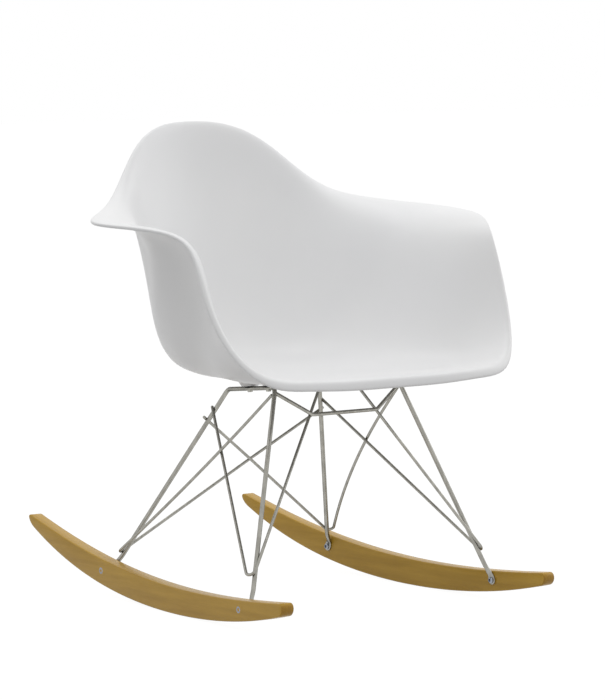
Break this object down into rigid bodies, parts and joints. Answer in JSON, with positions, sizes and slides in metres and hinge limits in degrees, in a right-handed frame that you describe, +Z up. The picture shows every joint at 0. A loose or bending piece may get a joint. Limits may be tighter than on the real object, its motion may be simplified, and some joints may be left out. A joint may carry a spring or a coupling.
{
  "type": "rocking armchair",
  "caption": "Moulded bucket armchair on a welded wire base with wooden rockers, a free-standing seat that rolls back and forth on the floor.",
  "frame": {"origin": "on the floor at the middle of the rockers' length and of the chair's width", "axes": "+Z up, -Y towards the front of the seat, +X towards the sitter's left"},
  "size_m": [0.63, 0.6912, 0.6784],
  "materials": {
    "shell": "satin white moulded plastic",
    "boss": "satin white moulded plastic",
    "rubber": "black rubber",
    "rod": "bright drawn and welded steel rod",
    "zinc": "zinc plated",
    "wood": "honey coloured clear lacquer"
  },
  "bodies": {
    "root": {"seat_shell": "shell", "right_rear_boss": "boss", "left_rear_boss": "boss", "right_front_boss": "boss", "left_front_boss": "boss", "right_rear_pad": "rubber", "left_rear_pad": "rubber", "right_front_pad": "rubber", "left_front_pad": "rubber", "mount_washers": "zinc", "mount_screws": "zinc", "right_leg_rod": "rod", "left_leg_rod": "rod", "right_front_strut": "rod", "left_front_strut": "rod", "right_rear_strut": "rod", "left_rear_strut": "rod", "front_cross_rail": "rod", "right_rocker": "wood", "left_rocker": "wood", "rocker_bolts": "zinc", "rocker_sleeve_nuts": "zinc"}
  },
  "joints": []
}
